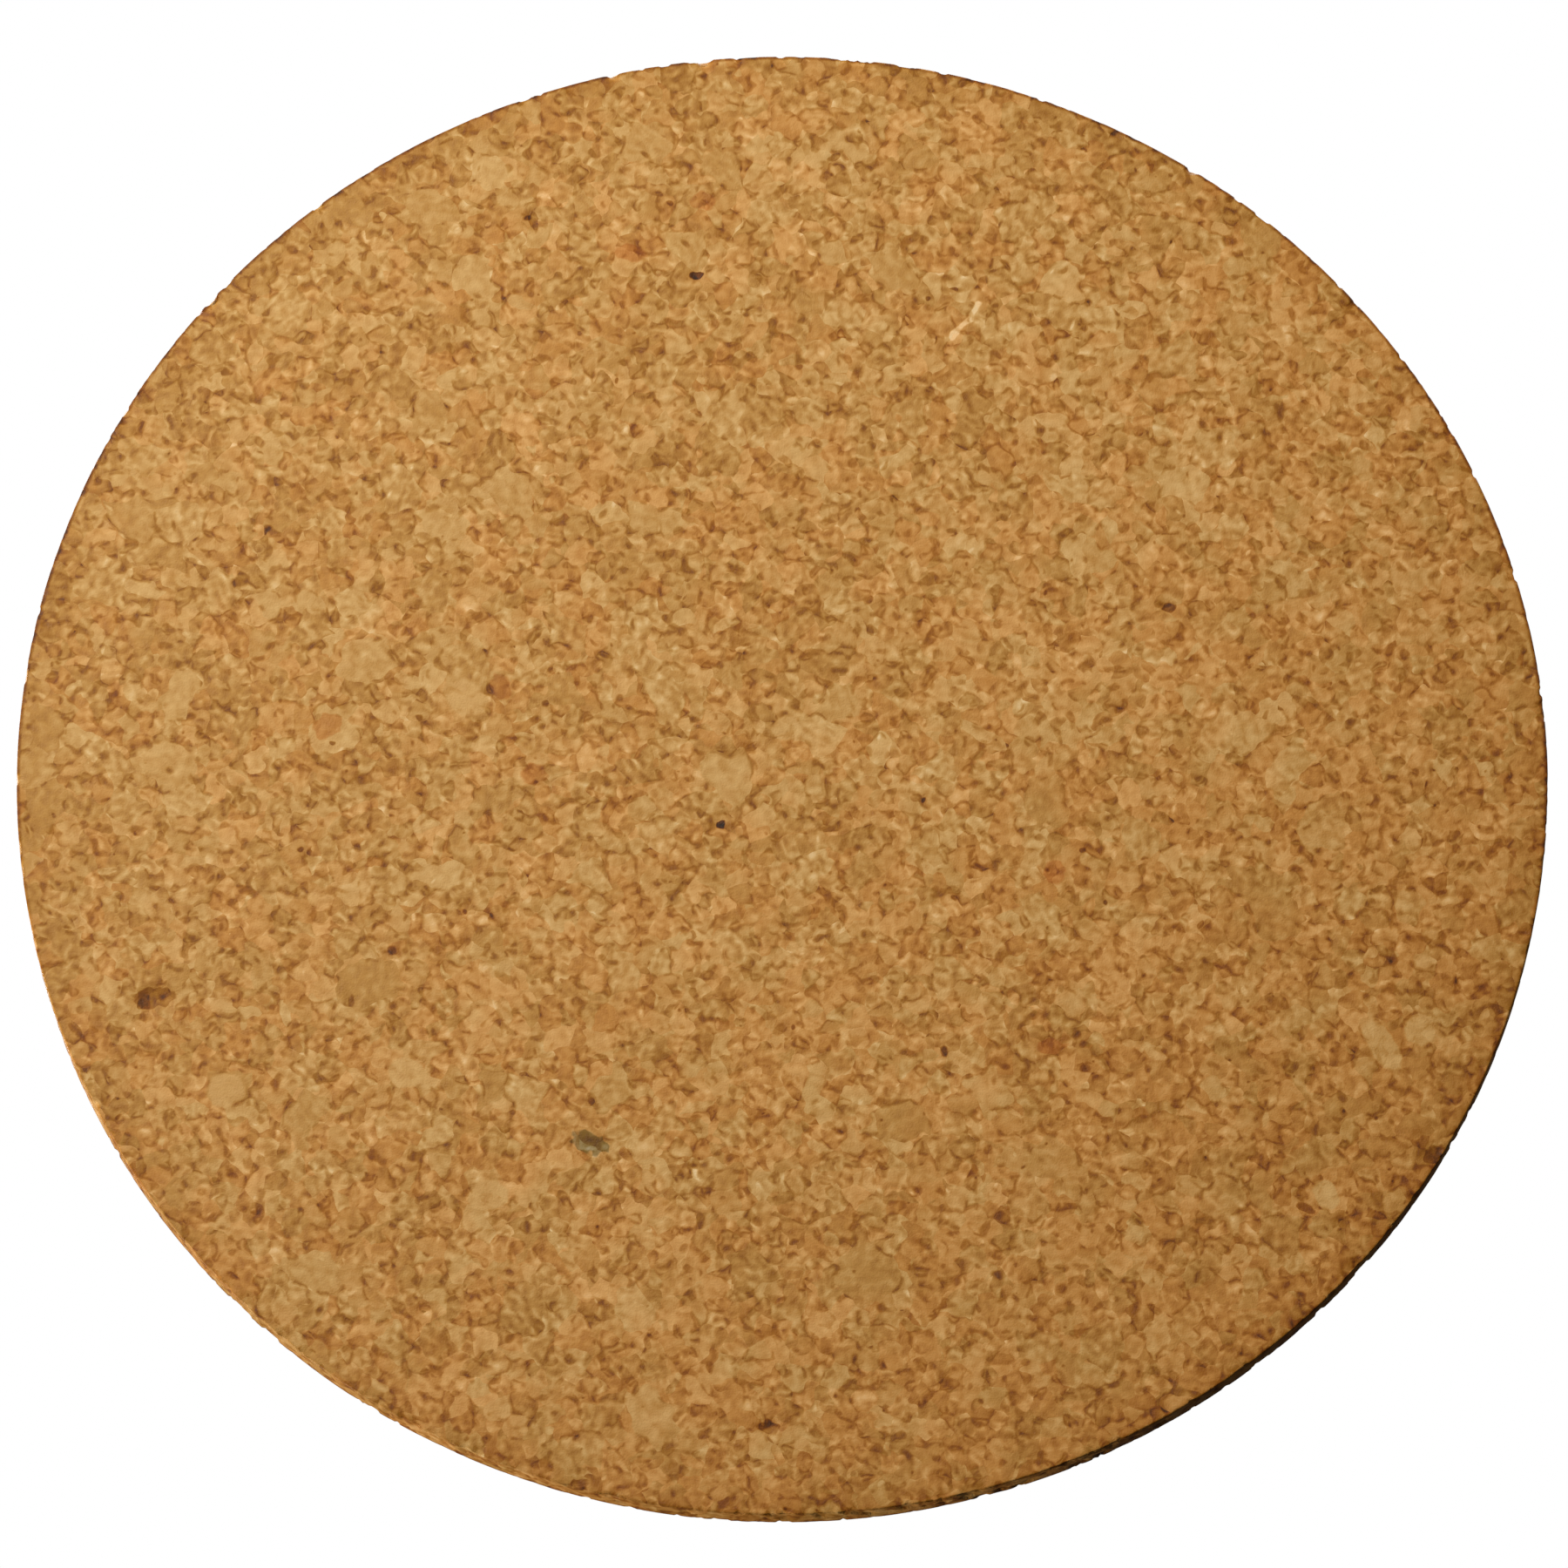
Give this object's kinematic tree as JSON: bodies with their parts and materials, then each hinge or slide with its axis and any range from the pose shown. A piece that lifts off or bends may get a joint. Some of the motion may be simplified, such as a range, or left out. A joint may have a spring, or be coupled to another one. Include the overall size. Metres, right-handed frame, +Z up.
{
  "type": "cork bulletin board",
  "caption": "Round frameless cork pin board, a single thick cork disc that hangs on a wall by adhesive foam pads with peel-off liners.",
  "frame": {"origin": "middle of the board on the wall plane, at the outside of the centre pad's release liner", "axes": "+Z is up the wall, +Y goes into the wall, and the pinning face looks along -Y; +X is to the right for someone facing the board"},
  "size_m": [0.305, 0.0082, 0.305],
  "materials": {
    "cork": "matt agglomerated cork, medium granules, unsealed",
    "foam": "matt white closed-cell polyethylene foam tape",
    "liner": "semi-gloss silicone-coated buff release paper"
  },
  "bodies": {
    "board": {"cork_disc": "cork", "foam_pad_centre": "foam", "foam_pad_1": "foam", "foam_pad_2": "foam", "foam_pad_3": "foam", "foam_pad_4": "foam", "foam_pad_5": "foam", "foam_pad_6": "foam"},
    "liner_centre": {"release_liner_centre": "liner"},
    "liner_1": {"release_liner_1": "liner"},
    "liner_2": {"release_liner_2": "liner"},
    "liner_3": {"release_liner_3": "liner"},
    "liner_4": {"release_liner_4": "liner"},
    "liner_5": {"release_liner_5": "liner"},
    "liner_6": {"release_liner_6": "liner"}
  },
  "joints": [
    {"name": "peel_centre", "type": "slide", "parent": "board", "child": "liner_centre", "axis": [0, 1, 0], "range_m": [0, 0.03]},
    {"name": "peel_1", "type": "slide", "parent": "board", "child": "liner_1", "axis": [0, 1, 0], "range_m": [0, 0.03]},
    {"name": "peel_2", "type": "slide", "parent": "board", "child": "liner_2", "axis": [0, 1, 0], "range_m": [0, 0.03]},
    {"name": "peel_3", "type": "slide", "parent": "board", "child": "liner_3", "axis": [0, 1, 0], "range_m": [0, 0.03]},
    {"name": "peel_4", "type": "slide", "parent": "board", "child": "liner_4", "axis": [0, 1, 0], "range_m": [0, 0.03]},
    {"name": "peel_5", "type": "slide", "parent": "board", "child": "liner_5", "axis": [0, 1, 0], "range_m": [0, 0.03]},
    {"name": "peel_6", "type": "slide", "parent": "board", "child": "liner_6", "axis": [0, 1, 0], "range_m": [0, 0.03]}
  ]
}
